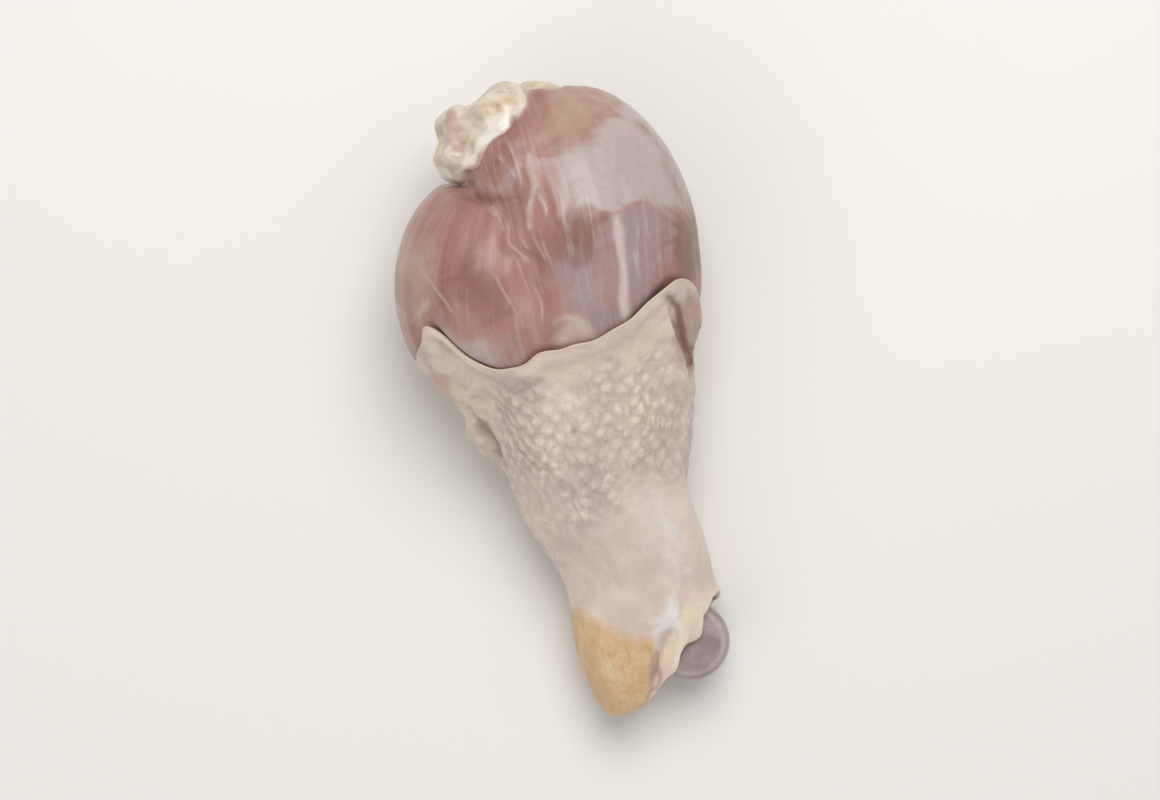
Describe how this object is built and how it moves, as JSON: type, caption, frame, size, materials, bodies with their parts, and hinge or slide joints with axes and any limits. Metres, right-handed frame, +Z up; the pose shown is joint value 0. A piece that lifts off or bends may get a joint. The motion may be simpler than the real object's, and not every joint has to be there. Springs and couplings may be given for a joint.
{
  "type": "raw chicken drumstick",
  "caption": "Raw poultry leg piece: a rounded bulb of bare meat with a sleeve of pimpled skin pulled down to the shank, and bone and gristle at the cut hock.",
  "frame": {"origin": "centre of the footprint's box, on the surface that the drumstick lies on", "axes": "+Y along the shin bone from the hock to the knee, +Z up, with the cut edge of the skin and the bare meat on top"},
  "size_m": [0.0597, 0.1222, 0.0456],
  "materials": {
    "meat": "moist, half gloss",
    "skin": "moist, pimpled",
    "bone_cartilage": "wet gloss",
    "gristle": "moist",
    "fat": "soft, greasy"
  },
  "bodies": {
    "root": {"meat": "meat", "skin": "skin", "shin_bone": "bone_cartilage", "heel_gristle": "gristle", "knee_fat": "fat"}
  },
  "joints": []
}
